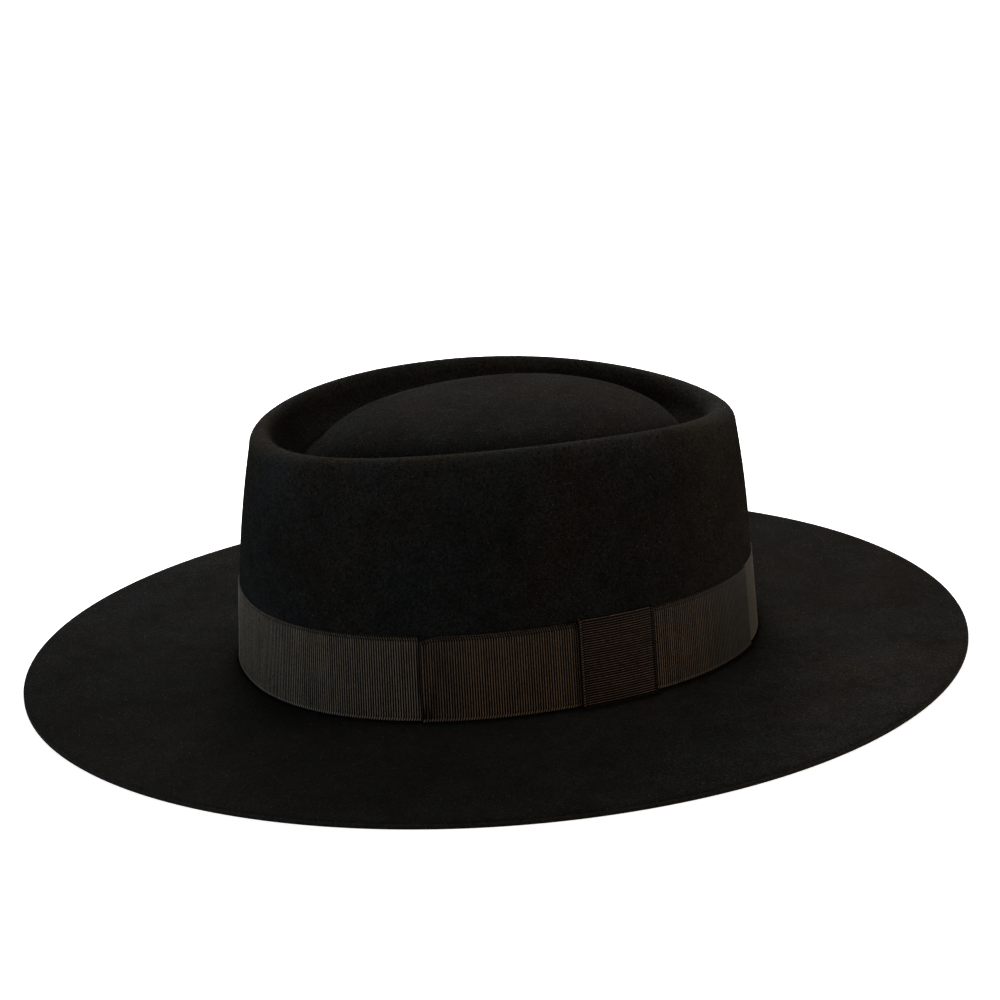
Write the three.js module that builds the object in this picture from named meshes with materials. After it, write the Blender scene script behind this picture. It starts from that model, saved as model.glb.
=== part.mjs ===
import * as THREE from 'three';

// A wide pork pie hat: one felt body, a ribbon round the crown and a flat bow on the wearer's left.
// Millimetres, +Z up. The brim lies on z = 0, the front is -Y and the wearer's left is +X.

// Felt
const feltThickness = 2;
const crownLength = 202.2; // front to back at the foot of the crown
const crownWidth = 165.4;
const brimAtEnds = 82.1; // from the crown's foot to the cut edge, at the front and back
const brimAtSides = 83.6;
const footFillet = 0.7; // where the brim breaks from the crown
const rimHeight = 90; // top of the crown's rim, before its rise and drop
const rimSideRise = 6.2; // the rim stands this much higher at both sides
const rimBackDrop = 2; // and this much lower at the back, higher at the front
const rimRoll = 7.3; // largest radius of the rolled rim
const rimInner = 0.6; // the roll's inner half is this share of its outer half
const wallLean = 9.5; // largest lean of the wall, from foot to rim
const wallBulge = 0.8;
const moatDepth = 12.2; // from the rim down to the lowest line of the dent
const moatWidth = 18.6; // largest distance from the wall to that line
const domeProud = 2; // the dome's top over the rim at the sides

// Ribbon
const ribbonWidth = 30.8;
const ribbonThickness = 1;
const bandLean = 2.1; // the wall leans in this much behind the band
const bandWaist = 1.5; // how far the band draws the felt in
const bandReturn = 3; // height over the band in which the felt comes out again
const bowThickness = 1.1; // two plies pressed flat
const loopLength = 57.7; // each loop, from its fold to the knot
const knotWidth = 30;
const bowPlace = 0.274; // middle of the knot, in turns from the front to the wearer's left
const clearance = 0.3;

// Ovals seen from above: 2 is an ellipse, more is squarer, and egg narrows the front
const crownOval = { squareness: 2.2, egg: 0.029 };
const tipOval = { squareness: 2.1, egg: 0.015 };
const brimOval = { squareness: 2.015, egg: 0.014 };
const moatOval = { squareness: 2.08, egg: 0.14 };

// The rim round the hat, as shares of wallLean, rimRoll and moatWidth
const rimTable = {
  front: { lean: 0.985, roll: 0.78, moat: 1 },
  side: { lean: 1, roll: 0.64, moat: 0.757 },
  back: { lean: 0.555, roll: 1, moat: 0.875 },
};

// The dome's profile: how far its flat top reaches out, and its foot's reach in and rise, as shares
const domeProfile = { top: 1, foot: 0.155, heel: 0.15 };
// The dent's outer side: its first lean inwards, its steep stretch, and its slope's drop and run
const flankProfile = { lean: 0.1, down: 0.55, drop: 0.12, run: 0.2 };

// Mesh
const columns = 60;
const brimShares = [0, 0.5, 1];
const filletAngles = [45, 90];
const wallShares = [0.3, 0.55, 0.8];
const rollAngles = [8, 34, 60, 86, 112, 138, 164];
const flankShares = [0.33, 0.66, 1];
const domeShares = [0.22, 0.38, 0.5, 0.6, 0.7, 0.8, 0.9];
const ribbonStep = 5;

const bandBottom = feltThickness + footFillet;
const bandTop = bandBottom + ribbonWidth;
const radians = THREE.MathUtils.degToRad;
const columnAngles = Array.from({ length: columns }, (_, i) => (i / columns) * 2 * Math.PI);

// A point of an oval and its outward direction. The angle is 0 at +X and a quarter turn at the back.
function ovalPoint(halfLength, halfWidth, oval, angle, setBack = 0) {
  const curve = (a) => {
    const power = 2 / oval.squareness;
    const along = Math.sign(Math.sin(a)) * Math.abs(Math.sin(a)) ** power;
    const across = Math.sign(Math.cos(a)) * Math.abs(Math.cos(a)) ** power;
    return new THREE.Vector2(halfWidth * across * (1 + oval.egg * along), halfLength * along + setBack);
  };
  const small = 0.01;
  const ahead = curve(angle + small);
  const behind = curve(angle - small);
  const outward = new THREE.Vector2(ahead.y - behind.y, behind.x - ahead.x).normalize();
  return { point: curve(angle), outward };
}

function moved(planPoint, distance) {
  return planPoint.point.clone().addScaledVector(planPoint.outward, distance);
}

// A value of the rim's table at an angle round the hat
function aroundRim(column, angle) {
  const ends = Math.sin(angle) ** 2;
  const end = Math.sin(angle) < 0 ? rimTable.front : rimTable.back;
  return end[column] * ends + rimTable.side[column] * (1 - ends);
}

function footPlan(angle) {
  return ovalPoint(crownLength / 2, crownWidth / 2, crownOval, angle);
}

const leanFront = wallLean * rimTable.front.lean;
const leanSide = wallLean * rimTable.side.lean;
const leanBack = wallLean * rimTable.back.lean;
const tipHalfLength = (crownLength - leanFront - leanBack) / 2;
const tipHalfWidth = crownWidth / 2 - leanSide;
const tipSetBack = (leanFront - leanBack) / 2;

function tipPlan(angle) {
  return ovalPoint(tipHalfLength, tipHalfWidth, tipOval, angle, tipSetBack);
}

const moatFront = moatWidth * rimTable.front.moat;
const moatSide = moatWidth * rimTable.side.moat;
const moatBack = moatWidth * rimTable.back.moat;
const moatHalfLength = tipHalfLength - (moatFront + moatBack) / 2;
const moatSetBack = tipSetBack + (moatFront - moatBack) / 2;

function moatPlan(angle) {
  return ovalPoint(moatHalfLength, tipHalfWidth - moatSide, moatOval, angle, moatSetBack);
}

function rimTop(angle) {
  return rimHeight + rimSideRise * Math.cos(angle) ** 2 - rimBackDrop * Math.sin(angle);
}

function rollRadius(angle) {
  return rimRoll * aroundRim('roll', angle);
}

// The wall's inset from the foot, at a height behind the band
function bandInset(height) {
  return (bandLean * (height - bandBottom)) / ribbonWidth;
}

function at(plan, height) {
  return new THREE.Vector3(plan.x, plan.y, height);
}

function bezier(a, b, c, d, share) {
  const rest = 1 - share;
  return a * rest ** 3 + 3 * b * rest ** 2 * share + 3 * c * rest * share ** 2 + d * share ** 3;
}

// One ring of points from a function of the angle
function ring(place) {
  return columnAngles.map(place);
}

function brimRing(share) {
  return ring((angle) => {
    const halfLength = crownLength / 2 + brimAtEnds;
    const halfWidth = crownWidth / 2 + brimAtSides;
    const edge = ovalPoint(halfLength, halfWidth, brimOval, angle).point;
    const foot = moved(footPlan(angle), footFillet - bandWaist);
    return at(edge.lerp(foot, share), feltThickness);
  });
}

function filletRing(degrees) {
  const turn = radians(degrees);
  const out = footFillet * (1 - Math.sin(turn)) - bandWaist;
  const height = feltThickness + footFillet * (1 - Math.cos(turn));
  return ring((angle) => at(moved(footPlan(angle), out), height));
}

function bandRing(height) {
  return ring((angle) => at(moved(footPlan(angle), -bandInset(height) - bandWaist), height));
}

function wallTop(angle) {
  return rimTop(angle) - rollRadius(angle);
}

// The felt's own line, from the band's top edge at share 0 to the roll at share 1
function wallPoint(angle, share) {
  const foot = footPlan(angle);
  const low = moved(foot, -bandLean);
  const plan = low.lerp(tipPlan(angle).point, share);
  plan.addScaledVector(foot.outward, 4 * wallBulge * share * (1 - share));
  return at(plan, THREE.MathUtils.lerp(bandTop, wallTop(angle), share));
}

function wallRing(share) {
  return ring((angle) => wallPoint(angle, share));
}

// The felt comes out from behind the band to its own line
function returnRing() {
  return ring((angle) => wallPoint(angle, bandReturn / (wallTop(angle) - bandTop)));
}

function rollPoint(angle, degrees) {
  const radius = rollRadius(angle);
  const turn = Math.cos(radians(degrees));
  const inset = turn > 0 ? 1 - turn : 1 - rimInner * turn;
  const plan = moved(tipPlan(angle), -radius * inset);
  return at(plan, rimTop(angle) + radius * (Math.sin(radians(degrees)) - 1));
}

function rollRing(degrees) {
  return ring((angle) => rollPoint(angle, degrees));
}

const moatLevel = (angle) => rimTop(angle) - moatDepth;
const moatMiddle = rimHeight - moatDepth;
const domeTop = rimHeight + rimSideRise + domeProud;

function flankRing(share) {
  return ring((angle) => {
    const start = rollPoint(angle, rollAngles.at(-1));
    const end = moatPlan(angle).point;
    const low = moatLevel(angle);
    const bend = THREE.MathUtils.lerp(start.z, low, flankProfile.down);
    const slope = THREE.MathUtils.lerp(low, start.z, flankProfile.drop);
    const height = bezier(start.z, bend, slope, low, share);
    const inward = bezier(0, flankProfile.lean, 1 - flankProfile.run, 1, share);
    return at(new THREE.Vector2(start.x, start.y).lerp(end, inward), height);
  });
}

function domeRing(share) {
  return ring((angle) => {
    const reach = bezier(1, 1 - domeProfile.foot, domeProfile.top, 0, share);
    const heel = THREE.MathUtils.lerp(moatMiddle, domeTop, domeProfile.heel);
    const rise = bezier(moatMiddle, heel, domeTop, domeTop, share);
    const centre = new THREE.Vector2(0, moatSetBack);
    const plan = centre.lerp(moatPlan(angle).point, reach);
    return at(plan, rise + (moatLevel(angle) - moatMiddle) * reach ** 4);
  });
}

function meshGeometry(points, faces) {
  const geometry = new THREE.BufferGeometry();
  const positions = points.flatMap((p) => [p.x, p.y, p.z]);
  geometry.setAttribute('position', new THREE.Float32BufferAttribute(positions, 3));
  geometry.setIndex(faces.flat());
  geometry.computeVertexNormals();
  return geometry;
}

// Faces between neighbouring rings that run the same way round. The first ring is the outermost.
function ringFaces(ringCount, first, reverse) {
  const faces = [];
  for (let i = 0; i < ringCount - 1; i++) {
    for (let j = 0; j < columns; j++) {
      const next = (j + 1) % columns;
      const a = first + i * columns + j;
      const b = first + i * columns + next;
      const c = b + columns;
      const d = a + columns;
      faces.push(reverse ? [a, c, b] : [a, b, c], reverse ? [a, d, c] : [a, c, d]);
    }
  }
  return faces;
}

function capFaces(lastRing, pole, reverse) {
  return Array.from({ length: columns }, (_, j) => {
    const next = lastRing + ((j + 1) % columns);
    return reverse ? [lastRing + j, pole, next] : [lastRing + j, next, pole];
  });
}

// The felt is one sheet: its outer face, and the same rings moved in by the felt's thickness
function feltGeometry() {
  const brimRings = brimShares.map(brimRing);
  const rings = [
    ...brimRings,
    ...filletAngles.map(filletRing),
    bandRing((bandBottom + bandTop) / 2),
    bandRing(bandTop + clearance),
    returnRing(),
    ...wallShares.map(wallRing),
    ...rollAngles.map(rollRing),
    ...flankShares.map(flankRing),
    ...domeShares.map(domeRing),
  ];
  const top = new THREE.Vector3(0, moatSetBack, domeTop);
  const outerPoints = [...rings.flat(), top];
  const lastRing = (rings.length - 1) * columns;
  const pole = lastRing + columns;
  const outerFaces = [...ringFaces(rings.length, 0, false), ...capFaces(lastRing, pole, false)];

  const normals = meshGeometry(outerPoints, outerFaces).getAttribute('normal');
  const flatPoints = brimRings.length * columns;
  const innerPoints = outerPoints.map((p, i) => {
    const normal = new THREE.Vector3().fromBufferAttribute(normals, i);
    if (i < flatPoints || i === pole) normal.set(0, 0, 1);
    return p.clone().addScaledVector(normal, -feltThickness);
  });
  const inner = outerPoints.length;
  const innerFaces = [
    ...ringFaces(rings.length, inner, true),
    ...capFaces(inner + lastRing, inner + pole, true),
  ];
  const edgeFaces = [];
  for (let j = 0; j < columns; j++) {
    const next = (j + 1) % columns;
    edgeFaces.push([j, inner + j, inner + next], [j, inner + next, next]);
  }
  return meshGeometry([...outerPoints, ...innerPoints], [...outerFaces, ...innerFaces, ...edgeFaces]);
}

// A ribbon's section as pairs of distance out from the wall and height, swept along plan points
function sweptRibbon(plans, sectionAt, closed) {
  const loops = plans.map((plan, i) =>
    sectionAt(i).map(([out, height]) => at(moved(plan, out - bandInset(height)), height)),
  );
  const size = loops[0].length;
  const faces = [];
  const last = closed ? loops.length : loops.length - 1;
  for (let i = 0; i < last; i++) {
    const ahead = (i + 1) % loops.length;
    for (let k = 0; k < size; k++) {
      const side = (k + 1) % size;
      const a = i * size + k;
      const b = ahead * size + k;
      const c = ahead * size + side;
      const d = i * size + side;
      faces.push([a, b, c], [a, c, d]);
    }
  }
  if (!closed) {
    const flat = sectionAt(0).map(([out, height]) => new THREE.Vector2(out, height));
    const end = (loops.length - 1) * size;
    for (const [a, b, c] of THREE.ShapeUtils.triangulateShape(flat, [])) {
      faces.push([a, b, c], [end + a, end + c, end + b]);
    }
  }
  return meshGeometry(loops.flat(), faces);
}

function box(inner, outer, bottom, top) {
  return [
    [inner, bottom],
    [outer, bottom],
    [outer, top],
    [inner, top],
  ];
}

// The crown's foot by distance round it, from the front towards the wearer's left
function footPath() {
  const steps = 1440;
  const points = [];
  let length = 0;
  for (let i = 0; i <= steps; i++) {
    const plan = footPlan((i / steps) * 2 * Math.PI - Math.PI / 2);
    if (i > 0) length += plan.point.distanceTo(points.at(-1).point);
    points.push({ ...plan, length });
  }
  return points;
}

const path = footPath();
const footLength = path.at(-1).length;

function planAt(distance) {
  const next = path.findIndex((p) => p.length >= distance);
  const a = path[next - 1];
  const b = path[next];
  const share = (distance - a.length) / (b.length - a.length);
  return {
    point: a.point.clone().lerp(b.point, share),
    outward: a.outward.clone().lerp(b.outward, share).normalize(),
  };
}

function evenly(from, to) {
  const count = Math.ceil((to - from) / ribbonStep);
  return Array.from({ length: count + 1 }, (_, i) => from + ((to - from) * i) / count);
}

const bandInner = clearance - bandWaist;
const bandOuter = bandInner + ribbonThickness;
const bowInner = bandOuter + clearance;
const bowOuter = bowInner + bowThickness;
const knotInner = bowOuter + clearance;
const knotOuter = knotInner + ribbonThickness;
const knotBottom = feltThickness + clearance;
const bowBottom = knotBottom + ribbonThickness + clearance;
const knotTop = bandTop + clearance + ribbonThickness;
const knotMiddle = bowPlace * footLength;

function bandGeometry() {
  const section = box(bandInner, bandOuter, bandBottom, bandTop);
  return sweptRibbon(columnAngles.map(footPlan), () => section, true);
}

// The bow is one ribbon folded flat at both ends, so its thickness closes in a half round there
function bowGeometry() {
  const half = bowThickness / 2;
  const middle = bowInner + half;
  const reach = loopLength + knotWidth / 2;
  const foldShares = [0.05, 0.3, 1];
  const starts = foldShares.map((share) => knotMiddle - reach + share * half);
  const ends = foldShares.map((share) => knotMiddle + reach - share * half).reverse();
  const flat = evenly(starts.at(-1), ends[0]).slice(1, -1);
  const distances = [...starts, ...flat, ...ends];
  const section = (i) => {
    const fromEnd = Math.min(distances[i] - knotMiddle + reach, knotMiddle + reach - distances[i]);
    const depth = Math.min(fromEnd, half);
    const thick = Math.sqrt(half ** 2 - (half - depth) ** 2);
    return box(middle - thick, middle + thick, bowBottom, bandTop);
  };
  return sweptRibbon(distances.map(planAt), section, false);
}

// The knot wraps the bow: a front, and a return over its top and under its lower edge
function knotGeometry() {
  const section = [
    [bowInner, knotBottom],
    [knotOuter, knotBottom],
    [knotOuter, knotTop],
    [bowInner, knotTop],
    [bowInner, knotTop - ribbonThickness],
    [knotInner, knotTop - ribbonThickness],
    [knotInner, knotBottom + ribbonThickness],
    [bowInner, knotBottom + ribbonThickness],
  ];
  const distances = evenly(knotMiddle - knotWidth / 2, knotMiddle + knotWidth / 2);
  return sweptRibbon(distances.map(planAt), () => section, false);
}

const feltMaterial = new THREE.MeshStandardMaterial({ color: 0x1a1817, roughness: 0.95, metalness: 0 });
const bandMaterial = new THREE.MeshStandardMaterial({ color: 0x24211e, roughness: 0.55, metalness: 0 });
const bowMaterial = new THREE.MeshStandardMaterial({ color: 0x221c17, roughness: 0.55, metalness: 0 });
const knotMaterial = new THREE.MeshStandardMaterial({ color: 0x1d1612, roughness: 0.6, metalness: 0 });

function piece(name, geometry, material) {
  const mesh = new THREE.Mesh(geometry, material);
  mesh.name = name;
  return mesh;
}

const hat = new THREE.Group();
hat.add(
  piece('felt_body', feltGeometry(), feltMaterial),
  piece('hat_band', bandGeometry(), bandMaterial),
  piece('side_bow', bowGeometry(), bowMaterial),
  piece('bow_knot', knotGeometry(), knotMaterial),
);

export default hat;
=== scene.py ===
import math
from types import SimpleNamespace

import bpy
import numpy as np
from mathutils import Matrix, Vector


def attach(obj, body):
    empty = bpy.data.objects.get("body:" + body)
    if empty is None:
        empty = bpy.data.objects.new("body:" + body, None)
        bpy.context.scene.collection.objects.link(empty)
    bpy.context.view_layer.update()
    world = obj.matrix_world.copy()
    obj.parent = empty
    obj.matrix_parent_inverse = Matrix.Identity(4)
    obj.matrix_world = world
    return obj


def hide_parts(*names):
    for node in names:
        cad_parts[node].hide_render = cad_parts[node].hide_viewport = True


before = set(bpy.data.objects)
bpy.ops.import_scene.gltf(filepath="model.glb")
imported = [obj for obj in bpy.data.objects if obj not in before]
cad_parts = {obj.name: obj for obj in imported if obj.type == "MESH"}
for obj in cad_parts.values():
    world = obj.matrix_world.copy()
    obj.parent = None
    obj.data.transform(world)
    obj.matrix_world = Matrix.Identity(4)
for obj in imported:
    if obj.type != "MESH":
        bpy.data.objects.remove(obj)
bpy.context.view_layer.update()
mm = 0.001
print("frame loaded")


# Camera, at the photo's angle. Azimuth runs from the hat's front towards the wearer's left.
photoView = {
    "azimuth": 70.246,
    "elevation": 18.612,
    "distance": 0.846873,
    "aim": (0, 0, 0.04),
    "yaw": -0.18,
    "pitch": -1.041,
    "roll": -2.638,
    "lens": 79.05,
    "sensor": 36,
    "nearest": 0.01,  # nothing closer than this is drawn
}


def newObject(name, data):
    made = bpy.data.objects.new(name, data)
    bpy.context.scene.collection.objects.link(made)
    return made


def placeCamera(view):
    azimuth = math.radians(view["azimuth"])
    elevation = math.radians(view["elevation"])
    level = math.cos(elevation)
    back = Vector((math.sin(azimuth) * level, -math.cos(azimuth) * level, math.sin(elevation)))
    right = (-back).cross(Vector((0, 0, 1))).normalized()
    up = right.cross(-back)
    axes = Matrix.Rotation(-math.radians(view["roll"]), 3, "Z")
    axes = axes @ Matrix.Rotation(-math.radians(view["pitch"]), 3, "X")
    axes = axes @ Matrix.Rotation(math.radians(view["yaw"]), 3, "Y")
    axes = axes @ Matrix((right, up, -back))
    turn = Matrix((axes[0], axes[1], -axes[2])).transposed()
    data = bpy.data.cameras.new("camera")
    data.lens = view["lens"]
    data.sensor_width = view["sensor"]
    data.clip_start = view["nearest"]
    camera = newObject("camera", data)
    camera.matrix_world = Matrix.Translation(Vector(view["aim"]) + back * view["distance"]) @ turn.to_4x4()
    bpy.context.scene.camera = camera


placeCamera(photoView)
print("camera placed")


class Wire:  # a node socket that takes part in Python expressions
    def __init__(self, tree, socket=None):
        self.tree = tree
        self.socket = socket

    def add(self, kind, settings=None, inputs=None, output=0):
        node = self.tree.nodes.new(kind)
        for name, value in (settings or {}).items():
            if name == "stops":
                self.setStops(node.color_ramp, value)
            else:
                setattr(node, name, value)
        for name, value in (inputs or {}).items():
            if isinstance(value, Wire):
                self.tree.links.new(value.socket, node.inputs[name])
            else:
                node.inputs[name].default_value = value
        return Wire(self.tree, node.outputs[output] if len(node.outputs) else None)

    def setStops(self, ramp, stops):
        while len(ramp.elements) < len(stops):
            ramp.elements.new(1)
        for element, (place, shade) in zip(ramp.elements, stops):
            element.position = place
            element.color = (shade, shade, shade, 1)

    def out(self, name):  # another output of the same node
        return Wire(self.tree, self.socket.node.outputs[name])

    def math(self, operation, *others):
        return self.add("ShaderNodeMath", {"operation": operation}, dict(enumerate((self, *others))))

    def __add__(self, other):
        return self.math("ADD", other)

    def __sub__(self, other):
        return self.math("SUBTRACT", other)

    def __rsub__(self, other):
        return self.add("ShaderNodeMath", {"operation": "SUBTRACT"}, {0: other, 1: self})

    def __mul__(self, other):
        return self.math("MULTIPLY", other)

    def __truediv__(self, other):
        return self.math("DIVIDE", other)

    def __pow__(self, other):
        return self.math("POWER", other)

    __radd__ = __add__
    __rmul__ = __mul__

    def attribute(self, name):
        return self.add("ShaderNodeAttribute", {"attribute_name": name}, output="Fac")

    def noise(self, scale, detail, roughness):
        inputs = {"Vector": self, "Scale": scale, "Detail": detail, "Roughness": roughness}
        return self.add("ShaderNodeTexNoise", {}, inputs)

    def ramp(self, *stops):
        return self.add("ShaderNodeValToRGB", {"stops": stops}, {"Fac": self})

    def blend(self, first, second):  # a colour between two, by this value
        inputs = {0: self, 6: first, 7: second}
        return self.add("ShaderNodeMix", {"data_type": "RGBA"}, inputs, 2)

    def bump(self, distance, strength):
        inputs = {"Height": self, "Distance": distance, "Strength": strength}
        return self.add("ShaderNodeBump", {}, inputs)


def newMaterial(name):
    material = bpy.data.materials.new(name)
    material.use_nodes = True
    material.node_tree.nodes.clear()
    return material, Wire(material.node_tree)


def finishMaterial(nodes, settings):
    surface = nodes.add("ShaderNodeBsdfPrincipled", {}, settings)
    nodes.add("ShaderNodeOutputMaterial", {}, {"Surface": surface})


# The felt: the same oval plans and rim as the part's source, in millimetres
felt = {
    "thickness": 2,
    "crownLength": 202.2,
    "crownWidth": 165.4,
    "brimAtEnds": 82.1,
    "brimAtSides": 83.6,
    "footFillet": 0.7,
    "rimHeight": 90,
    "rimSideRise": 6.2,
    "rimBackDrop": 2,
    "rimRoll": 7.3,
    "rimInner": 0.6,  # the roll's inner half is this share of its outer half
    "rimTurns": (8, 164),  # where the roll starts and ends, in degrees from level
    "wallLean": 9.5,
    "wallBulge": 0.8,
    "moatDepth": 12.2,
    "moatWidth": 18.6,
    "flankInward": (0, 0.1, 0.8, 1),  # Bezier shares of the way from the roll to the crease
    "flankFall": (0, 0.55, 0.88, 1),
    "domeProud": 2,
    "domeSpread": (1, 0.845, 1, 0),  # Bezier shares of the way from the crease to the top
    "domeRise": (0, 0.15, 1, 1),
    "pinch": 0.22,  # how far the ribbon presses the felt in
    "pinchReturn": 1.2,
    "edgeRound": 0.5,
    "edgeUnder": 0.45,  # height at which the cut edge turns under
    "brimWave": 0.3,
    "waves": [(2, 0.6, 1), (3, 2.1, 0.6), (7, 1, 0.35)],  # number round the brim, phase and share
    "waveTotal": 1.9,  # about the sum of those shares
    "columns": 320,
    "ribbonRings": 10,
}
ovals = {  # 2 is an ellipse, more is squarer, and egg narrows the front
    "crown": (2.2, 0.029),
    "tip": (2.1, 0.015),
    "brim": (2.015, 0.014),
    "moat": (2.08, 0.14),
}
rimTable = {  # shares of wallLean, rimRoll and moatWidth at the front, side and back
    "lean": (0.985, 1, 0.555),
    "roll": (0.78, 0.64, 1),
    "moat": (1, 0.757, 0.875),
}
ribbon = {
    "width": 30.8,
    "lean": 2.1,  # the wall leans in this much behind it
    "pitch": 0.92,  # from rib to rib
    "ribHeight": 0.22,
    "thickness": 0.42,
    "stepsPerRib": 5,
    "selvedge": [(0, 0.9, 2.5), (0.2, 1, 2.3), (0.6, 1.1, 1.4), (1.1, 1, 0.3)],  # place, swell and shift
    "topSwell": 0.94,  # the top selvedge's share of that swell
    "stepPlace": 1.2,  # shares of the selvedge's width: its inner step, and where the plain ribs start
    "bodyPlace": 1.45,
    "stepSwell": (0.95, 0.91),  # at the lower and the upper step
    "bandFace": 0.24,  # out from the crown's plan, under the ribs
    "bowBack": 0.48,
    "bowFace": 1.1,
    "knotBack": 0.5,
    "knotFace": 1.95,
    "leftFold": 89.6,  # along the band from the front towards the wearer's left
    "rightFold": 233.4,
    "knotStart": 146.6,
    "knotWidth": 30,
}
ribbon["bottom"] = felt["thickness"] + felt["footFillet"]
ribbon["top"] = ribbon["bottom"] + ribbon["width"]
knotMiddle = ribbon["knotStart"] + ribbon["knotWidth"] / 2
quarterTurn = np.radians([0, 22, 45, 68, 90])  # steps of a rounded corner
cornerRings = len(quarterTurn) - 1


def ovalPlan(halfLength, halfWidth, name, angle, setBack=0.0):
    squareness, egg = ovals[name]

    def curve(a):
        along = np.sign(np.sin(a)) * np.abs(np.sin(a)) ** (2 / squareness)
        across = np.sign(np.cos(a)) * np.abs(np.cos(a)) ** (2 / squareness)
        return np.stack([halfWidth * across * (1 + egg * along), halfLength * along + setBack], -1)

    step = 0.01
    side = curve(angle + step) - curve(angle - step)
    outward = np.stack([side[..., 1], -side[..., 0]], -1)
    outward /= np.linalg.norm(outward, axis=-1, keepdims=True)
    return curve(angle), outward


def aroundRim(name, angle):
    front, side, back = rimTable[name]
    ends = np.sin(angle) ** 2
    return np.where(np.sin(angle) < 0, front, back) * ends + side * (1 - ends)


def bezier(a, b, c, d, share):
    rest = 1 - share
    return a * rest**3 + 3 * b * rest**2 * share + 3 * c * rest * share**2 + d * share**3


def bell(distance, reach):
    return np.exp(-((distance / reach) ** 2))


def footPlan(angle):
    return ovalPlan(felt["crownLength"] / 2, felt["crownWidth"] / 2, "crown", angle)


def bandInset(height):
    return ribbon["lean"] * (height - ribbon["bottom"]) / ribbon["width"]


def footTable(steps):  # lengths along the crown's foot, from the front
    angle = np.linspace(0, 2 * np.pi, steps + 1) - np.pi / 2
    points, _ = footPlan(angle)
    lengths = np.linalg.norm(np.diff(points, axis=0), axis=1)
    return angle, np.concatenate([[0], np.cumsum(lengths)])


footAngles, footLengths = footTable(2880)
footLength = footLengths[-1]


def feltLines():  # the curves that the felt is lofted through
    angle = np.arange(felt["columns"]) / felt["columns"] * 2 * np.pi
    foot, outward = footPlan(angle)
    leanFront, leanSide, leanBack = (felt["wallLean"] * share for share in rimTable["lean"])
    moatFront, moatSide, moatBack = (felt["moatWidth"] * share for share in rimTable["moat"])
    tipLength = (felt["crownLength"] - leanFront - leanBack) / 2
    tipWidth = felt["crownWidth"] / 2 - leanSide
    tipSet = (leanFront - leanBack) / 2
    tip, tipOutward = ovalPlan(tipLength, tipWidth, "tip", angle, tipSet)
    creaseLength = tipLength - (moatFront + moatBack) / 2
    creaseSet = tipSet + (moatFront - moatBack) / 2
    crease, _ = ovalPlan(creaseLength, tipWidth - moatSide, "moat", angle, creaseSet)
    brimLength = felt["crownLength"] / 2 + felt["brimAtEnds"]
    brimWidth = felt["crownWidth"] / 2 + felt["brimAtSides"]
    brim, brimOutward = ovalPlan(brimLength, brimWidth, "brim", angle)
    rimTop = felt["rimHeight"] + felt["rimSideRise"] * np.cos(angle) ** 2
    rimTop = rimTop - felt["rimBackDrop"] * np.sin(angle)
    return SimpleNamespace(
        angle=angle,
        foot=foot,
        outward=outward,
        tip=tip,
        tipOutward=tipOutward,
        crease=crease,
        brim=brim,
        brimOutward=brimOutward,
        rimTop=rimTop,
        roll=felt["rimRoll"] * aroundRim("roll", angle),
        low=rimTop - felt["moatDepth"],
        pole=np.array([0, creaseSet, felt["rimHeight"] + felt["rimSideRise"] + felt["domeProud"]]),
    )


def ringAt(plan, height):
    return np.column_stack([plan, np.broadcast_to(height, len(plan))])


def brimRings(lines):
    thick = felt["thickness"]
    corner = felt["edgeRound"]
    rings = []
    for turn in quarterTurn[:-1]:  # the cut edge's upper corner
        inward = lines.brimOutward * corner * (1 - math.cos(turn))
        rings.append(ringAt(lines.brim - inward, thick - corner * (1 - math.sin(turn))))
    edge = lines.brim - lines.brimOutward * corner
    foot = lines.foot + lines.outward * (felt["footFillet"] - felt["pinch"])
    wave = sum(part * np.sin(number * lines.angle + phase) for number, phase, part in felt["waves"])
    wave = felt["brimWave"] * (felt["waveTotal"] + wave) / (2 * felt["waveTotal"])
    for share in [*np.linspace(0, 0.96, 32), 0.972, 0.983, 0.992, 1]:  # closer together at the foot
        rings.append(ringAt(edge * (1 - share) + foot * share, thick + wave * (1 - share) ** 1.5))
    return rings


def wallRings(lines):
    thick = felt["thickness"]
    fillet = felt["footFillet"]
    pinch = felt["pinch"]
    rings = []
    for turn in quarterTurn[1:]:
        out = fillet * (1 - math.sin(turn)) - pinch
        rings.append(ringAt(lines.foot + lines.outward * out, thick + fillet * (1 - math.cos(turn))))
    for height in np.linspace(ribbon["bottom"] + 2, ribbon["top"], felt["ribbonRings"]):
        rings.append(ringAt(lines.foot - lines.outward * (bandInset(height) + pinch), height))
    start = lines.foot - lines.outward * ribbon["lean"]
    reach = lines.rimTop - lines.roll - ribbon["top"]
    first = felt["pinchReturn"] / reach.mean()
    for share in [first * 0.3, first * 0.65, *np.linspace(first, 1, 30)]:
        out = 4 * felt["wallBulge"] * share * (1 - share) - pinch * max(0, 1 - share / first) ** 1.5
        plan = start * (1 - share) + lines.tip * share + lines.outward * out
        rings.append(ringAt(plan, ribbon["top"] + reach * share))
    return rings


def rimRings(lines):
    rings = []
    for turn in np.radians(np.linspace(*felt["rimTurns"], 22)):
        across = math.cos(turn)
        half = 1 if across > 0 else felt["rimInner"]
        inward = lines.tipOutward * (lines.roll * (1 - across * half))[:, None]
        rings.append(ringAt(lines.tip - inward, lines.rimTop + lines.roll * (math.sin(turn) - 1)))
    return rings


def flankRings(lines, start):
    rings = []
    for share in np.linspace(0.08, 1, 12):
        inward = bezier(*felt["flankInward"], share)
        fall = bezier(*felt["flankFall"], share)
        plan = start[:, :2] * (1 - inward) + lines.crease * inward
        rings.append(ringAt(plan, start[:, 2] * (1 - fall) + lines.low * fall))
    return rings


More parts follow.
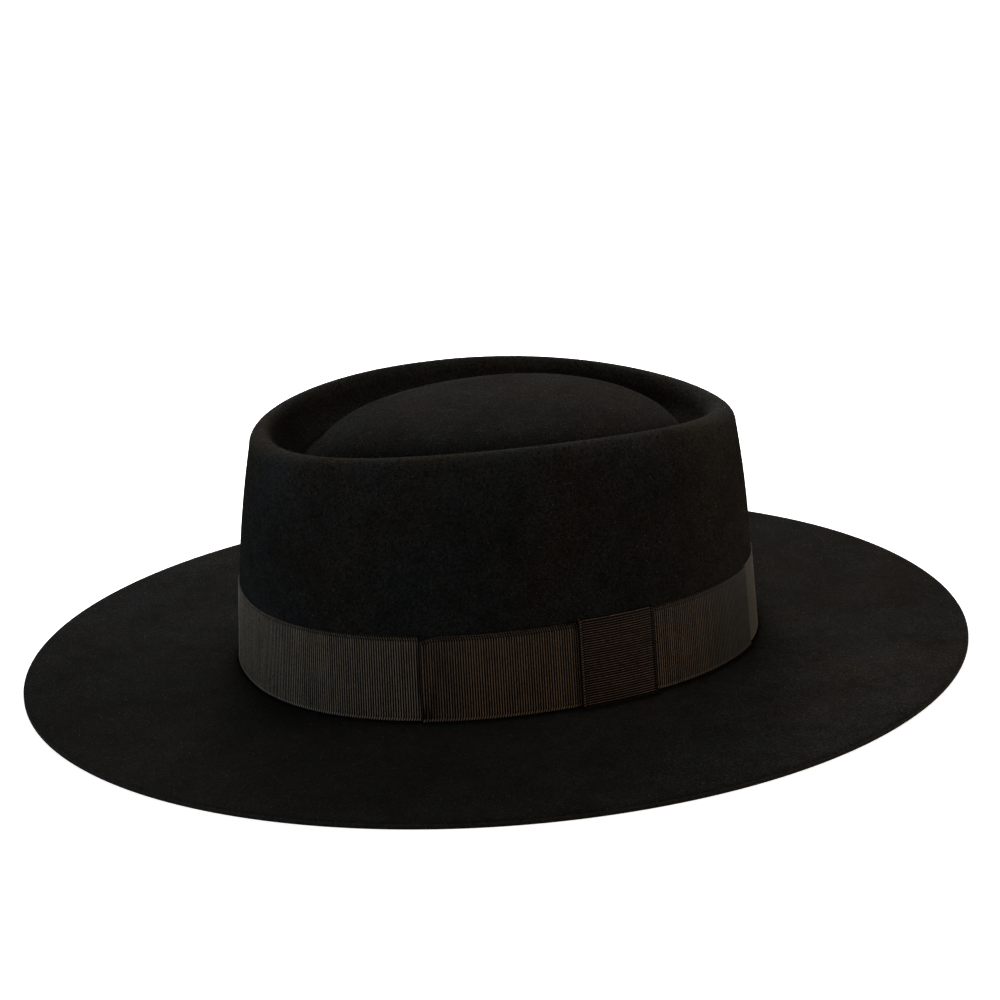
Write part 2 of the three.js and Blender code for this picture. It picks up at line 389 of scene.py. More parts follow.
def domeRings(lines):
    centre = lines.pole[:2]
    top = lines.pole[2]
    foot = felt["rimHeight"] - felt["moatDepth"]
    rings = []
    for share in [*np.linspace(0.05, 0.9, 24), 0.93, 0.955, 0.975, 0.99]:  # closer together at the top
        spread = bezier(*felt["domeSpread"], share)
        rise = bezier(*felt["domeRise"], share)
        height = foot * (1 - rise) + top * rise + (lines.low - foot) * spread**4
        rings.append(ringAt(centre * (1 - spread) + lines.crease * spread, height))
    return rings


def feltRings():  # all rings from the cut edge to the top, and where their stretches meet
    lines = feltLines()
    rings = brimRings(lines)
    marks = {"foot": len(rings)}
    rings += wallRings(lines)
    marks["roll"] = len(rings)
    rings += rimRings(lines)
    marks["flank"] = len(rings)
    rings += flankRings(lines, rings[-1])
    marks["crease"] = len(rings) - 1
    rings += domeRings(lines)
    return np.array(rings), marks, lines.pole


def gridNormals(points):
    around = np.roll(points, -1, 1) - np.roll(points, 1, 1)
    along = np.gradient(points, axis=0)
    normals = np.cross(around, along)
    return normals / np.linalg.norm(normals, axis=-1, keepdims=True)


def skinFaces(count, columns, first=0, reverse=False):  # strips between the rings and a fan to the pole
    i, j = np.meshgrid(np.arange(count - 1), np.arange(columns), indexing="ij")
    a = first + i * columns + j
    b = first + i * columns + (j + 1) % columns
    strips = np.stack([a, b, b + columns, a + columns], -1).reshape(-1, 4)
    j = np.arange(columns)
    last = first + (count - 1) * columns
    fan = np.stack([last + j, last + (j + 1) % columns, np.full(columns, last + columns)], -1)
    if reverse:
        strips = strips[:, ::-1]
        fan = fan[:, [1, 0, 2]]
    return strips.tolist() + fan.tolist()


def feltShell(outer, normals, foot, pole):  # outer skin, inner skin and the cut edge between them
    count, columns = outer.shape[:2]
    inner = outer - normals * felt["thickness"]
    inner[:foot, :, 2] = 0
    inner = inner[cornerRings:]  # the underside starts where the cut edge ends
    low = outer[0].copy()
    low[:, 2] = felt["edgeUnder"]
    innerPole = pole - (0, 0, felt["thickness"])
    points = np.concatenate([outer.reshape(-1, 3), [pole], inner.reshape(-1, 3), [innerPole], low])
    innerFirst = count * columns + 1
    lowFirst = innerFirst + len(inner) * columns + 1
    faces = skinFaces(count, columns)
    faces += skinFaces(len(inner), columns, innerFirst, True)
    for j in range(columns):
        k = (j + 1) % columns
        faces.append([lowFirst + j, lowFirst + k, k, j])
        faces.append([innerFirst + j, innerFirst + k, lowFirst + k, lowFirst + j])
    return points, faces


def newPiece(name, points, faces, material):
    mesh = bpy.data.meshes.new(name)
    mesh.from_pydata((np.asarray(points) * mm).tolist(), [], faces)
    mesh.shade_smooth()
    mesh.materials.append(material)
    return newObject(name, mesh)


def storePoints(mesh, name, values):
    mesh.attributes.new(name, "FLOAT", "POINT").data.foreach_set("value", values)


def asMesh(piece, name):  # what the modifiers make, as a plain mesh
    mesh = bpy.data.meshes.new_from_object(piece.evaluated_get(bpy.context.evaluated_depsgraph_get()))
    mesh.name = name
    piece.modifiers.clear()
    return mesh


feltLook = {  # noise scales are per metre, reaches in millimetres, and what is in rings says so
    "dark": (0.0042, 0.0040, 0.0036, 1),
    "light": (0.0222, 0.0198, 0.0169, 1),
    "coolLight": (0.0196, 0.0208, 0.0212, 1),  # in patches, where the nap lies the other way, and as painted cool light on the brim
    "fleck": (0.085, 0.078, 0.070, 1),
    "cutEdgeHighlight": (0.026, 0.024, 0.021, 1),  # painted highlight along the brim's cut edge
    # the colour of the painted shade on the felt
    "crevice": (0.0006, 0.0008, 0.0007, 1),
    "nap": 2050,
    "hairs": 0.42,  # this and the next two are shares of that scale
    "strays": 0.8,
    "flecks": 1.2,
    "brushed": 170,
    "patches": 38,
    "coolPatches": 24,
    "hue": 0.78,  # how far single hairs stray from the main colour
    "sheen": 0.014,
    "sheenTint": (1, 0.95, 0.88, 1),
    "rimHighlight": 1.1,  # painted highlight: how much lighter the rim's crest is
    "rimHighlightSides": 0.45,  # the share of that beside the crest
    "rimHighlightRings": 9,  # how many rings down the wall it fades
    "brimPaintedShading": [  # painted light and shade on the brim, by degrees from the wearer's left
        (-90, -0.52),
        (-60, -0.5),
        (-20, -0.36),
        (30, 0.28),
        (75, -0.28),
        (115, -0.4),
        (180, -0.25),
        (230, -0.22),
    ],
    "wallPaintedShading": [  # and painted light and shade on the wall
        (-90, 0.02),
        (-60, 0.12),
        (-25, 0.36),
        (-8, 0.2),
        (13, -0.14),
        (42, 0.14),
        (80, 0.06),
        (180, 0.05),
    ],
    # painted cool light on the brim, strongest at the front
    "brimPaintedCoolLight": 0.3,
    "ribbonShade": 0.85,  # painted shadow on the brim along the ribbon
    "bandReach": 2,
    "bowReach": 3.2,
    "knotReach": 4.6,
    "ribbonFade": 1.2,
    "footShade": 0.5,  # and the wider shade round the crown's foot
    "footFade": 5,
    "creaseShade": 0.6,
    "creaseFade": 0.9,  # rings
    "flankShade": 0.1,
    "domeFootShade": 0.3,
    "flankFade": 5,  # rings
    "creaseRings": 9,
    "domeShade": 0.7,
    "domeTurn": 0.35,  # the dome is darkest this far in front of the wearer's left, in radians
    "moatShade": 0.85,
    "moatStart": 10,  # rings after the roll's first
    "moatRings": 9,
}


def feltMaterial(look):
    material, nodes = newMaterial("blackFurFelt")
    place = nodes.add("ShaderNodeTexCoord", output="Object")
    nap = place.noise(look["nap"], 2, 0.6)
    hairs = place.noise(look["nap"] * look["hairs"], 2, 0.6)
    brushed = place.noise(look["brushed"], 3, 0.6)
    patches = place.noise(look["patches"], 2, 0.5).ramp((0.34, 0), (0.66, 1))
    coolPatches = place.noise(look["coolPatches"], 1, 0.5).ramp((0.4, 0), (0.6, 1))
    tone = (nap * 0.6 + hairs * 0.4).ramp((0.34, 0), (0.71, 1))
    # painted light and shade, from the attribute of that name
    tone = tone * (0.12 + 1.3 * brushed + 0.45 * patches) * (1 + nodes.attribute("lighter"))
    # patches of cool colour, plus painted cool light on the brim
    light = (coolPatches + nodes.attribute("cool")).blend(look["light"], look["coolLight"])
    colour = tone.blend(look["dark"], light)
    stray = place.noise(look["nap"] * look["strays"], 1, 0.5).out("Color")
    mixing = {"data_type": "RGBA", "blend_type": "OVERLAY"}
    colour = nodes.add("ShaderNodeMix", mixing, {0: look["hue"], 6: colour, 7: stray}, 2)
    fleck = place.noise(look["nap"] * look["flecks"], 0, 0.5).ramp((0.78, 0), (0.86, 1))
    colour = fleck.blend(colour, look["fleck"])
    # painted highlight along the brim's cut edge
    colour = (nodes.attribute("cut") * (1.8 * hairs - 0.2)).blend(colour, look["cutEdgeHighlight"])
    finishMaterial(nodes, {
        # painted shade, from the attribute of that name
        "Base Color": nodes.attribute("crevice").blend(colour, look["crevice"]),
        "Roughness": 0.95,
        "Specular IOR Level": 0,
        "Sheen Weight": look["sheen"],
        "Sheen Roughness": 0.3,
        "Sheen Tint": look["sheenTint"],
        "Normal": (nap * 0.5 + hairs * 0.5).bump(0.0007, 1),
    })
    return material


def feltShades(outer, normals, marks, look):  # what the material and the nap read on the outer skin
    count, columns = outer.shape[:2]
    foot, roll, flank, crease = (marks[name] for name in ("foot", "roll", "flank", "crease"))
    angle = (np.arange(columns) / columns * 2 * np.pi + np.pi / 2) % (2 * np.pi) - np.pi / 2
    shade = {name: np.zeros((count, columns)) for name in ("skin", "cut", "crevice", "lighter", "cool")}
    shade["skin"][cornerRings + 1 :] = 1
    ribbonEnd = foot + cornerRings + felt["ribbonRings"]
    shade["skin"][foot + 2 : ribbonEnd] = 0  # no loose hairs behind the ribbon
    # the cut edge's painted highlight
    shade["cut"][: cornerRings - 1] = 1

    along = np.interp(angle, footAngles, footLengths)
    fromFoot = np.linalg.norm(outer[:, :, :2] - outer[foot - 1, :, :2], axis=-1)
    underBow = (along > ribbon["leftFold"]) & (along < ribbon["rightFold"])
    underKnot = abs(along - knotMiddle) < ribbon["knotWidth"] / 2 + 0.5
    reach = np.where(underKnot, look["knotReach"], np.where(underBow, look["bowReach"], look["bandReach"]))
    # painted shadow on the brim beside the ribbon and round the crown's foot
    besideRibbon = look["ribbonShade"] * np.clip((reach - fromFoot) / look["ribbonFade"], 0, 1)
    roundFoot = look["footShade"] * np.exp(-fromFoot / look["footFade"])
    shade["crevice"][: foot + 3] = np.maximum(besideRibbon, roundFoot)[: foot + 3]
    # painted light and shade on the brim, by direction
    shade["lighter"][:foot] = np.interp(np.degrees(angle), *zip(*look["brimPaintedShading"]), period=360)
    # painted cool light on the brim
    shade["cool"][:foot] = look["brimPaintedCoolLight"] * (1 - np.sin(angle))

    # painted light and shade round the wall, and the rim's painted highlight fading down it
    wallPaintedShading = np.interp(np.degrees(angle), *zip(*look["wallPaintedShading"]), period=360)
    for ring in range(foot, roll):
        nearRim = max(0, 1 - (roll - ring) / look["rimHighlightRings"]) ** 1.5
        shade["lighter"][ring] = wallPaintedShading + look["rimHighlight"] * look["rimHighlightSides"] * nearRim
    # the rim's painted highlight, strongest where the roll faces up
    crest = abs(normals[roll:flank, :, 2])
    shade["lighter"][roll:flank] = look["rimHighlight"] * (look["rimHighlightSides"] + (1 - look["rimHighlightSides"]) * crest)

    # painted shade in the crease between flank and dome
    for step in range(-look["creaseRings"], look["creaseRings"] + 1):
        wide = look["flankShade"] if step < 0 else look["domeFootShade"]
        depth = look["creaseShade"] * math.exp(-abs(step) / look["creaseFade"])
        shade["crevice"][crease + step] = depth + wide * bell(step, look["flankFade"])
    nearSide = np.clip(np.cos(angle + look["domeTurn"]), 0, 1)
    for ring in range(crease + 1, count):
        upward = (ring - crease) / (count - crease)
        shade["lighter"][ring] = -look["domeShade"] * nearSide * (1 - upward)
    frontEnd = (0.5 - 0.5 * np.sin(angle)) ** 4  # the moat's painted shade is darkest at the front
    start = roll + look["moatStart"]
    for ring in range(start + 1, crease + 1):
        depth = look["moatShade"] * min(1, (ring - start) / look["moatRings"]) * frontEnd
        shade["crevice"][ring] = np.maximum(shade["crevice"][ring], depth)
    return shade


def makeFelt(look):
    outer, marks, pole = feltRings()
    normals = gridNormals(outer)
    normals[: marks["foot"]] = (0, 0, 1)
    points, faces = feltShell(outer, normals, marks["foot"], pole)
    piece = newPiece("felt_hat", points, faces, feltMaterial(look))
    for name, rows in feltShades(outer, normals, marks, look).items():
        values = np.zeros(len(points))
        values[: rows.size] = rows.ravel()
        if name == "cut":
            values[-felt["columns"] :] = 1
        storePoints(piece.data, name, values)
    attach(piece, "root")
    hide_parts("felt_body")
    return piece


feltHat = makeFelt(feltLook)
print("felt made")


def storeValue(shape, name, value, kind):
    settings = {"data_type": kind, "domain": "POINT"}
    inputs = {"Geometry": shape, "Name": name, "Value": value}
    return shape.add("GeometryNodeStoreNamedAttribute", settings, inputs)


def namedValue(shape, name, kind="FLOAT"):
    return shape.add("GeometryNodeInputNamedAttribute", {"data_type": kind}, {"Name": name})


def setInputs(piece, tree, values):
    modifier = piece.modifiers.new(tree.name, "NODES")
    modifier.node_group = tree
    for item in tree.interface.items_tree:
        if item.in_out == "INPUT" and item.name in values:
            modifier[item.identifier] = values[item.name]


def newTree(name, sockets):
    tree = bpy.data.node_groups.new(name, "GeometryNodeTree")
    for socket, kind in sockets.items():
        tree.interface.new_socket(socket, in_out="INPUT", socket_type="NodeSocket" + kind)
    tree.interface.new_socket("Result", in_out="OUTPUT", socket_type="NodeSocketGeometry")
    nodes = Wire(tree)
    return tree, nodes, nodes.add("NodeGroupInput")


def finishTree(nodes, shape, finish):
    shape = nodes.add("GeometryNodeRealizeInstances", {}, {"Geometry": shape})
    shape = nodes.add("GeometryNodeSetMaterial", {}, {"Geometry": shape, "Material": finish})
    nodes.add("NodeGroupOutput", {}, {"Result": shape})


# Loose hairs of the nap by Geometry Nodes
napLook = {
    "colour": (0.10, 0.088, 0.075, 1),
    "perSquareMetre": 38000,
    "length": 0.6,
    "width": 0.035,
    "taper": 0.7,
    "lean": ((-1, -1, 0), (1, 1, 6.28)),  # least and most turn of a hair
    "sizes": (0.5, 1.4),
    "seed": 7,
}


def napTree(look):
    sockets = {"Felt": "Geometry", "Density": "Float", "Length": "Float", "Width": "Float"}
    sockets = {**sockets, "Seed": "Int", "Finish": "Material"}
    tree, nodes, given = newTree("looseNap", sockets)
    seed = given.out("Seed")
    density = namedValue(nodes, "skin") * given.out("Density")
    spread = {"Mesh": given, "Density": density, "Seed": seed}
    points = nodes.add("GeometryNodeDistributePointsOnFaces", {}, spread)
    hair = nodes.add("GeometryNodeCurvePrimitiveBezierSegment", {}, {
        "Resolution": 3,
        "Start": (0, 0, -0.1),
        "Start Handle": (0, 0, 0.3),
        "End Handle": (0.2, 0, 0.6),
        "End": (0.7, 0.1, 0.75),
    })
    taper = 1 - look["taper"] * nodes.add("GeometryNodeSplineParameter")
    hair = nodes.add("GeometryNodeSetCurveRadius", {}, {"Curve": hair, "Radius": taper})
    radius = given.out("Width") / given.out("Length") / 2
    profile = nodes.add("GeometryNodeCurvePrimitiveCircle", {}, {"Resolution": 3, "Radius": radius})
    parts = {"Curve": hair, "Profile Curve": profile, "Fill Caps": True}
    hair = nodes.add("GeometryNodeCurveToMesh", {}, parts)
    least, most = look["lean"]
    lean = {0: least, 1: most, "Seed": seed}
    lean = nodes.add("FunctionNodeRandomValue", {"data_type": "FLOAT_VECTOR"}, lean)
    turned = {"Rotation": points.out("Rotation"), "Rotate By": lean}
    turned = nodes.add("FunctionNodeRotateRotation", {"rotation_space": "LOCAL"}, turned)
    least, most = look["sizes"]
    size = {2: least, 3: most, "Seed": seed}
    size = nodes.add("FunctionNodeRandomValue", {"data_type": "FLOAT"}, size, 1)
    size = size * given.out("Length")
    placed = {"Points": points, "Instance": hair, "Rotation": turned, "Scale": size}
    finishTree(nodes, nodes.add("GeometryNodeInstanceOnPoints", {}, placed), given.out("Finish"))
    return tree


def makeNap(look):
    material, nodes = newMaterial("napHair")
    finishMaterial(nodes, {"Base Color": look["colour"], "Roughness": 0.6, "Specular IOR Level": 0.1})
    growth = newObject("napGrowth", feltHat.data)
    setInputs(growth, napTree(look), {
        "Density": look["perSquareMetre"],
        "Length": look["length"] * mm,
        "Width": look["width"] * mm,
        "Seed": look["seed"],
        "Finish": material,
    })
    mesh = asMesh(growth, "felt_nap")
    bpy.data.objects.remove(growth)
    piece = newObject("felt_nap", mesh)
    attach(piece, "root")


makeNap(napLook)
print("nap made")


# Grosgrain by Geometry Nodes: a section swept along a lay path, with a rib at every pitch
def ribbonSection(width, bodyRows, border):  # rows of place, out, swell, shift and border
    selvedge = ribbon["selvedge"]
    step = selvedge[-1][0] * ribbon["stepPlace"]
    plain = selvedge[-1][0] * ribbon["bodyPlace"]
    lowSwell, highSwell = ribbon["stepSwell"]
    low = [(w, 0, swell, shift, border) for w, swell, shift in selvedge]
    low += [(step, 0, lowSwell, 0, 0)]
    body = [(w, 0, 1, 0, 0) for w in np.linspace(plain, width - plain, bodyRows)]
    high = [(width - step, 0, highSwell, 0, 0)]
    high += [(width - w, 0, swell * ribbon["topSwell"], shift, 0) for w, swell, shift in reversed(selvedge)]
    thick = ribbon["thickness"]
    shift = selvedge[0][2]
    shares = np.linspace(1, 0, bodyRows)
    back = [(width * share, -thick, 1 if share in (0, 1) else 0, shift, 0) for share in shares]
    return low + body + high + back


def polyline(name, points, closed):
    mesh = bpy.data.meshes.new(name)
    count = len(points)
    edges = [(i, (i + 1) % count) for i in range(count if closed else count - 1)]
    mesh.from_pydata([tuple(c * mm for c in p) for p in points], edges, [])
    return newObject(name, mesh)


def grosgrainTree():
    sockets = {"Lay path": "Geometry", "Section": "Object", "Rib pitch": "Float", "Rib height": "Float"}
    sockets = {**sockets, "Steps per rib": "Int", "Finish": "Material"}
    tree, nodes, given = newTree("grosgrainRibbon", sockets)
    steps = given.out("Steps per rib")
    section = nodes.add("GeometryNodeObjectInfo", {}, {"Object": given.out("Section")}, "Geometry")
    section = nodes.add("GeometryNodeMeshToCurve", {}, {"Mesh": section})
    path = nodes.add("GeometryNodeMeshToCurve", {}, {"Mesh": given.out("Lay path")})
    length = nodes.add("GeometryNodeCurveLength", {}, {"Curve": path})
    ribs = (length / given.out("Rib pitch")).math("ROUND")
    count = ribs * steps + 1
    path = nodes.add("GeometryNodeResampleCurve", {"mode": "COUNT"}, {"Curve": path, "Count": count})
    path = nodes.add("GeometryNodeSetCurveNormal", {"mode": "Z_UP"}, {"Curve": path})
    along = nodes.add("GeometryNodeSplineParameter", output="Factor") * ribs
    path = storeValue(path, "ribCount", along, "FLOAT")
    path = storeValue(path, "out", nodes.add("GeometryNodeInputNormal"), "FLOAT_VECTOR")
    swept = {"Curve": path, "Profile Curve": section, "Fill Caps": True}
    sheet = nodes.add("GeometryNodeCurveToMesh", {}, swept)
    phase = namedValue(sheet, "ribCount") + namedValue(sheet, "shift") / steps
    phase = (phase + 0.0001).math("FRACT")
    ridge = (phase * math.pi).math("SINE") ** 0.6
    lift = ridge * namedValue(sheet, "swell")
    sheet = storeValue(sheet, "rib", lift, "FLOAT")
    offset = {0: namedValue(sheet, "out", "FLOAT_VECTOR"), "Scale": lift * given.out("Rib height") * -1}
    offset = nodes.add("ShaderNodeVectorMath", {"operation": "SCALE"}, offset)
    sheet = nodes.add("GeometryNodeSetPosition", {}, {"Geometry": sheet, "Offset": offset})
    finishTree(nodes, sheet, given.out("Finish"))
    return tree


grosgrain = grosgrainTree()


def ribbedSheet(name, path, width, bodyRows, material, border=1):
    section = ribbonSection(width, bodyRows, border)
    profile = polyline(name + "Section", [(-row[1], -row[0], 0) for row in section], True)
    for i, key in enumerate(("swell", "shift", "border"), 2):
        storePoints(profile.data, key, [row[i] for row in section])
    line = polyline(name + "Path", [(x, y, 0) for x, y in path], False)
    setInputs(line, grosgrain, {
        "Section": profile,
        "Rib pitch": ribbon["pitch"] * mm,
        "Rib height": ribbon["ribHeight"] * mm,
        "Steps per rib": ribbon["stepsPerRib"],
        "Finish": material,
    })
    mesh = asMesh(line, name)
    bpy.data.objects.remove(line)
    bpy.data.objects.remove(profile)
    return mesh


def foldedPath(low, high, turnedIn, back, face):  # a flat loop, with its ends turned in behind
    radius = (face - back) / 2
    turns = np.radians(np.linspace(-90, -270, 13))
    fold = [(radius + radius * math.cos(t), back + radius + radius * math.sin(t)) for t in turns]
    points = [(low + turnedIn, back)]
    points += [(low + inward, out) for inward, out in fold]
    points += [(high - inward, out) for inward, out in reversed(fold)]
    points.append((high - turnedIn, back))
    return points


def wrapRound(along, out, height):
    angle = np.interp(along % footLength, footLengths, footAngles)
    plan, outward = footPlan(angle)
    plan = plan + outward * (out - bandInset(height))[:, None]
    return np.column_stack([plan, height])


def readPoints(mesh):
    points = np.empty(len(mesh.vertices) * 3, dtype=np.float32)
    mesh.vertices.foreach_get("co", points)
    return points.reshape(-1, 3).astype(float) / mm


def writePoints(mesh, points):
    mesh.vertices.foreach_set("co", (points * mm).astype(np.float32).ravel())
    mesh.update()


def ribbonPiece(name, mesh, node):
    mesh.shade_smooth()
    piece = newObject(name, mesh)
    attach(piece, "root")
    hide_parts(node)


weave = {  # noise scales per metre
    "threads": 1700,
    "beads": 1100,
    "cloud": 90,
    "borderLight": 0.35,  # how much lighter the lower selvedge is
}


def ribbonMaterial(name, look):
    material, nodes = newMaterial(name)
    place = nodes.add("ShaderNodeTexCoord", output="Object")
    number = nodes.attribute("ribCount").math("FLOOR")
    uneven = nodes.add("ShaderNodeTexWhiteNoise", {"noise_dimensions": "1D"}, {"W": number})
    threads = place.noise(weave["threads"], 2, 0.6)
    cloud = place.noise(weave["cloud"], 2, 0.5)
    beads = place.noise(weave["beads"], 1, 0.5)
    crest = nodes.attribute("rib").ramp((look["groove"], 0), (1, 1))
    tone = crest * (0.8 + 0.4 * uneven) * (0.6 + 0.8 * cloud) * (1.6 * threads + 1.3 * beads - 0.45)
    # painted shade from the attribute darkens the ribs
    tone = tone * (1 + weave["borderLight"] * nodes.attribute("border")) * (1 - nodes.attribute("crevice"))
    light = look["light"]
    if "warm" in look:
        light = nodes.attribute("warm").blend(light, look["warm"])
    colour = tone.blend(look["dark"], light)
    # past the bow the ribs run together, and on the bow's far loop this is painted shade
    if "satin" in look:
        colour = nodes.attribute("satin").blend(colour, look["satin"])
    finishMaterial(nodes, {
        "Base Color": colour,
        "Roughness": 0.42 + 0.2 * threads,
        "Specular IOR Level": 0.04,
        "Sheen Weight": 0.02,
        "Sheen Roughness": 0.3,
        "Normal": (threads + crest * 0.5).bump(0.0001, 0.5),
    })
    return material


bandLook = {
    "groove": 0.81,  # up to this share of its height a rib stays dark
    "dark": (0.0003, 0.0003, 0.0003, 1),
    "light": (0.157, 0.133, 0.102, 1),
    "warm": (0.219, 0.165, 0.121, 1),  # the ribs just ahead of the bow
    "warmReach": 22,
    "satin": (0.045, 0.044, 0.037, 1),  # where the ribs run together, past the bow
    "satinAndShadeShare": 0.6,
    "satinAndShadeReach": 60,
    "rows": 5,
    "shadowEnd": 1.8,  # the painted shadow beside the bow's left fold fades out after this many reaches
    "shadowReach": 0.45,
    "shadowBelly": 0.75,  # how much further it reaches halfway up
    "cornerShade": 0.9,  # and the painted shade in the corner over it
    "cornerHeight": 2.6,
    "cornerSet": 3,
    "cornerReach": 4,
}


def makeBand(look):
    path = [(0, ribbon["bandFace"]), (footLength, ribbon["bandFace"])]
    material = ribbonMaterial("bandGrosgrain", look)
    mesh = ribbedSheet("ribbon_band", path, ribbon["width"], look["rows"], material)
    mesh.flip_normals()
    points = readPoints(mesh)
    along = points[:, 0] + knotMiddle
    behindFold = (along - ribbon["leftFold"]) % footLength
    behindFold = np.minimum(behindFold, footLength - behindFold)
    belly = np.sin(np.pi * np.clip(points[:, 2] / ribbon["width"], 0.06, 0.94))
    # painted shadow beside the bow's left fold, and painted shade in the corner over it
    reach = look["shadowReach"] + look["shadowBelly"] * belly
    crevice = np.clip(look["shadowEnd"] - behindFold / reach, 0, 1)
    nearTop = points[:, 2] > ribbon["width"] - look["cornerHeight"]
    nearFold = abs(along % footLength - ribbon["leftFold"] - look["cornerSet"]) < look["cornerReach"]
    crevice[nearTop & nearFold] = look["cornerShade"]
    ahead = (ribbon["leftFold"] - along) % footLength
    beyond = (along - ribbon["rightFold"]) % footLength
    storePoints(mesh, "crevice", crevice)
    storePoints(mesh, "warm", bell(ahead, look["warmReach"]))
    storePoints(mesh, "satin", look["satinAndShadeShare"] * np.exp(-beyond / look["satinAndShadeReach"]))
    writePoints(mesh, wrapRound(along, points[:, 1], points[:, 2] + ribbon["bottom"]))
    ribbonPiece("ribbon_band", mesh, "hat_band")


bowLook = {
    "groove": 0.8,
    "dark": (0.0003, 0.0002, 0.0002, 1),
    # painted warm light: the same ribbon as the band, in a warmer colour
    "light": (0.154, 0.107, 0.074, 1),
    "satin": (0.0145, 0.0148, 0.0142, 1),  # painted shade on the far loop, where its ribs also run together
    "satinAndShadeShare": 0.8,
    "satinAndShadeReach": 45,
    "farPaintedShade": 0.22,  # painted shade: how much darker its ribs are
    "rows": 5,
    "turnedIn": 50,  # length of each end behind the front ply
    "foldLift": 1.1,  # how far the left loop's end stands off the band
    "foldReach": 3.5,
    "rightLift": 0.15,  # the right loop's share of that
    "rightReach": 4,
    "foldRound": 0.55,  # how far the left fold swells
    "roundReach": 1.6,
    "cornerDip": 1.4,  # the tacked corner at the left
    "cornerReach": 3.2,
    "knotTuck": 0.35,  # the bow drawn in beside the knot
    "tuckReach": 1.1,
    "creaseReach": 0.6,
    "creaseShade": 1.9,
    "shadeReach": 0.65,
    "creases": [  # from and to, as distance from the left fold and height, then depth
        ((0.8, 1.6), (3.8, 8), 0.5),
        ((2.6, 1.2), (5.4, 6), 0.34),
        ((1.2, 28.4), (8, 21), 0.2),
    ],
}


def makeBow(look):
    left = ribbon["leftFold"]
    right = ribbon["rightFold"]
    knotEnd = ribbon["knotStart"] + ribbon["knotWidth"]
    path = foldedPath(left, right, look["turnedIn"], ribbon["bowBack"], ribbon["bowFace"])
    material = ribbonMaterial("bowGrosgrain", look)
    mesh = ribbedSheet("flat_bow", path, ribbon["width"], look["rows"], material)
    mesh.flip_normals()
    points = readPoints(mesh)
    along, out, height = points.T
    fromLeft = along - left
    fromRight = right - along
    upper = np.clip(height / ribbon["width"], 0, 1)
    belly = 0.3 + 0.7 * np.sin(np.pi * upper**0.8)
    lift = np.exp(-fromLeft / look["foldReach"])
    lift = lift + look["rightLift"] * np.exp(-fromRight / look["rightReach"])
    outside = np.sign(out - (ribbon["bowBack"] + ribbon["bowFace"]) / 2)
    out = out + look["foldLift"] * lift * belly
    out = out + look["foldRound"] * outside * bell(fromLeft, look["roundReach"]) * belly
    height = height - look["cornerDip"] * bell(fromLeft, look["cornerReach"]) * upper**5
    crevice = np.zeros(len(points))
    for (startAlong, startHeight), (endAlong, endHeight), depth in look["creases"]:
        run = np.array([endAlong - startAlong, endHeight - startHeight])
        share = ((fromLeft - startAlong) * run[0] + (height - startHeight) * run[1]) / (run @ run)
        share = np.clip(share, 0, 1)
        gap = np.hypot(fromLeft - startAlong - share * run[0], height - startHeight - share * run[1])
        out = out - depth * bell(gap, look["creaseReach"])
        # painted shade along each crease
        crevice = np.maximum(crevice, look["creaseShade"] * depth * bell(gap, look["shadeReach"]))
    beside = np.minimum(abs(along - ribbon["knotStart"]), abs(along - knotEnd))
    out = out - look["knotTuck"] * bell(beside, look["tuckReach"])
    # painted shade on the bow's far loop, where its ribs also run together
    farLoop = np.clip((along - knotEnd) / look["satinAndShadeReach"], 0, 1)
    crevice = np.maximum(crevice, look["farPaintedShade"] * (along > knotMiddle))
    storePoints(mesh, "crevice", crevice)
    storePoints(mesh, "satin", look["satinAndShadeShare"] * farLoop)
    writePoints(mesh, wrapRound(along, out, height + ribbon["bottom"]))
    ribbonPiece("flat_bow", mesh, "side_bow")


knotLook = {
    "groove": 0.92,
    "dark": (0.0003, 0.0002, 0.0002, 1),
    # painted warm light: the same ribbon as the band, in a redder colour
    "light": (0.165, 0.102, 0.078, 1),
    "rows": 14,
    "turnedIn": 5,  # length of each end, folded in out of sight
    "drop": 0.4,  # under the bottom of the band
    "rise": 0.9,  # over the top of the band
}


def makeKnot(look):
    low = ribbon["bottom"] - look["drop"]
    high = ribbon["top"] + look["rise"]
    path = foldedPath(low, high, look["turnedIn"], ribbon["knotBack"], ribbon["knotFace"])
    material = ribbonMaterial("knotGrosgrain", look)
    mesh = ribbedSheet("bow_centre", path, ribbon["knotWidth"], look["rows"], material, 0)
    points = readPoints(mesh)
    writePoints(mesh, wrapRound(points[:, 2] + ribbon["knotStart"], points[:, 1], points[:, 0]))
    ribbonPiece("bow_centre", mesh, "bow_knot")


makeBand(bandLook)
makeBow(bowLook)
makeKnot(knotLook)
print("ribbon made")


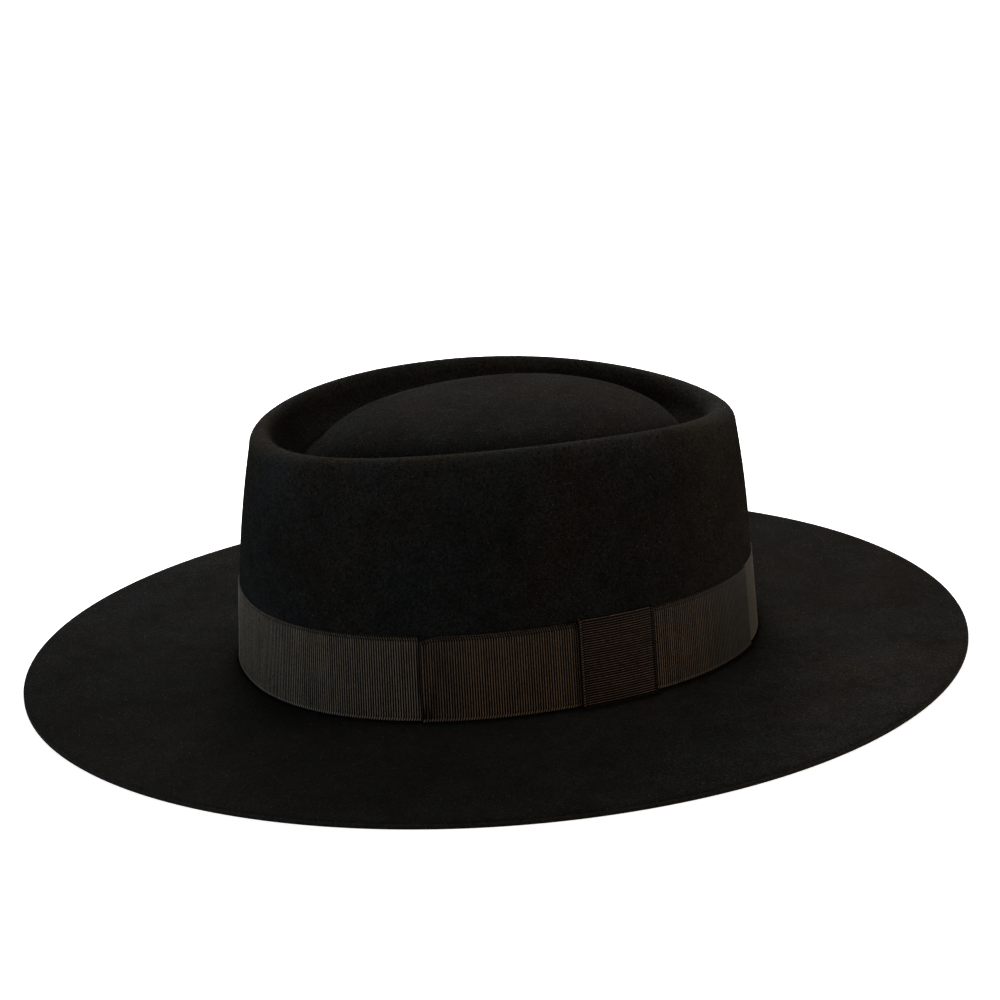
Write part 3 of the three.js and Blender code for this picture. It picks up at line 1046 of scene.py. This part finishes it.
# Floor and soft light
stage = {
    "floor": 24,  # metres
    "floorColour": (0.9, 0.9, 0.9, 1),
    "floorGlow": 0.78,  # keeps the shadow as pale as in the photo
    "sky": 0.62,
    "skyColour": (1, 0.94, 0.85, 1),
    "skyRise": (0.46, 0.26, -0.14),  # its share at the horizon, more overhead and less by the camera
}
lamps = {
    "backKey": {"place": (-0.7, 0.2, 0.6), "size": 0.6, "power": 12, "colour": (1, 0.98, 0.95)},
    "coolLeft": {"place": (-0.25, -1.9, 0.3), "size": 0.8, "power": 13.2, "colour": (0.68, 0.85, 1)},
    "warmRight": {"place": (0.75, 1.65, 0.42), "size": 0.8, "power": 14.6, "colour": (1, 0.86, 0.71)},
}


def makeFloor():
    material, nodes = newMaterial("paleFloor")
    finishMaterial(nodes, {
        "Base Color": stage["floorColour"],
        "Roughness": 0.7,
        "Specular IOR Level": 0.2,
        "Emission Color": (1, 1, 1, 1),
        "Emission Strength": stage["floorGlow"],
    })
    half = stage["floor"] / 2 / mm
    corners = [(-half, -half, 0), (half, -half, 0), (half, half, 0), (-half, half, 0)]
    floor = newPiece("floor", corners, [[0, 1, 2, 3]], material)
    floor.visible_diffuse = False  # the photo's table throws no light up at the hat


def makeSky():
    world = bpy.data.worlds.new("softRoom")
    world.use_nodes = True
    world.node_tree.nodes.clear()
    nodes = Wire(world.node_tree)
    towards = nodes.add("ShaderNodeTexCoord", output="Generated")
    towards = nodes.add("ShaderNodeSeparateXYZ", {}, {"Vector": towards})
    level, overhead, nearCamera = stage["skyRise"]
    sky = stage["sky"] * (level + overhead * towards.out("Z") + nearCamera * towards.out("X"))
    light = {"Color": stage["skyColour"], "Strength": sky.math("MAXIMUM", 0)}
    nodes.add("ShaderNodeOutputWorld", {}, {"Surface": nodes.add("ShaderNodeBackground", {}, light)})
    bpy.context.scene.world = world
    bpy.context.scene.view_settings.view_transform = "Standard"


def makeLamp(name, lamp):
    data = bpy.data.lights.new(name, "AREA")
    data.shape = "DISK"
    data.size = lamp["size"]
    data.energy = lamp["power"]
    data.color = lamp["colour"]
    place = Vector(lamp["place"])
    light = newObject(name, data)
    light.matrix_world = Matrix.Translation(place) @ place.to_track_quat("Z", "Y").to_matrix().to_4x4()


makeFloor()
makeSky()
for lampName, lamp in lamps.items():
    makeLamp(lampName, lamp)
print("stage made")
